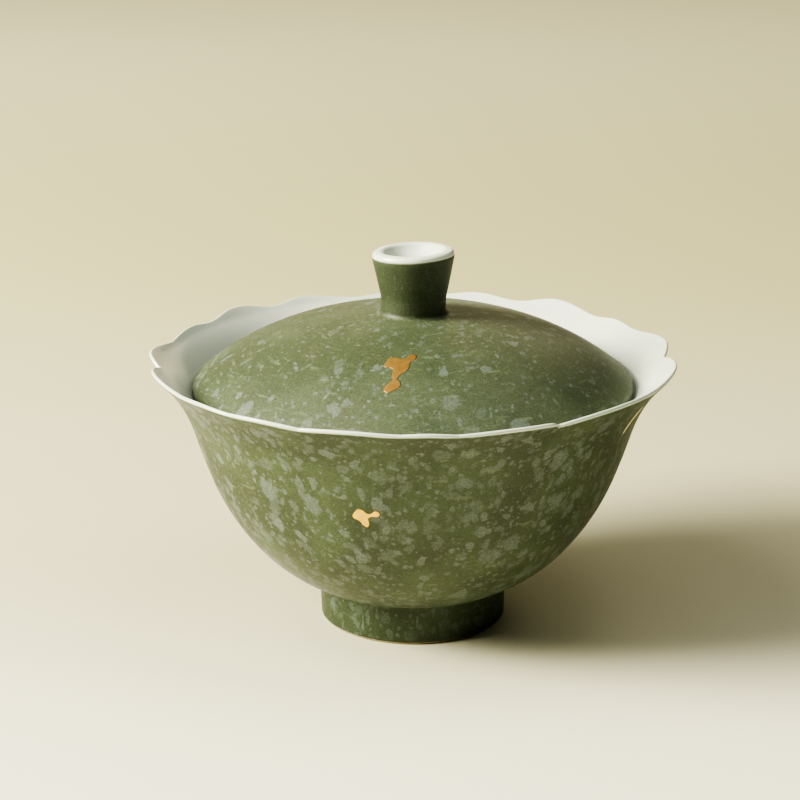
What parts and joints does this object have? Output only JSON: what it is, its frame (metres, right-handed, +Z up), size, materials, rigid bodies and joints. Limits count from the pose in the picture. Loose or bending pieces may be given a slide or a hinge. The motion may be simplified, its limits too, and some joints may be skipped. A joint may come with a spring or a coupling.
{
  "type": "gaiwan",
  "caption": "Lidded tea bowl with a flared petal rim and a turned foot; its domed lid has a dished knob and rests inside the mouth.",
  "frame": {"origin": "centre of the foot, on the surface that the bowl stands on", "axes": "+Z up along the bowl's axis, -Y towards the front, where the gold flecks are, +X to the front view's right"},
  "size_m": [0.1107, 0.1105, 0.0806],
  "materials": {
    "white_porcelain": "clear gloss glaze",
    "bare_porcelain": "unglazed, smooth ground",
    "green_glaze_bowl": "satin olive green with pale grey-green flakes",
    "green_glaze_lid": "satin grey-green with pale grey-green flakes",
    "gold_leaf": "soft gold leaf"
  },
  "bodies": {
    "bowl": {"bowl_shell": "white_porcelain", "foot_ring": "bare_porcelain", "bowl_glaze": "green_glaze_bowl", "bowl_gold_fleck_front": "gold_leaf", "bowl_gold_fleck_side": "gold_leaf"},
    "lid": {"lid_shell": "white_porcelain", "lid_knob": "white_porcelain", "lid_glaze": "green_glaze_lid", "lid_gold_fleck": "gold_leaf"}
  },
  "joints": [
    {"name": "lid_lift", "type": "slide", "parent": "bowl", "child": "lid", "axis": [0, 0, 1], "range_m": [0, 0.06]}
  ]
}
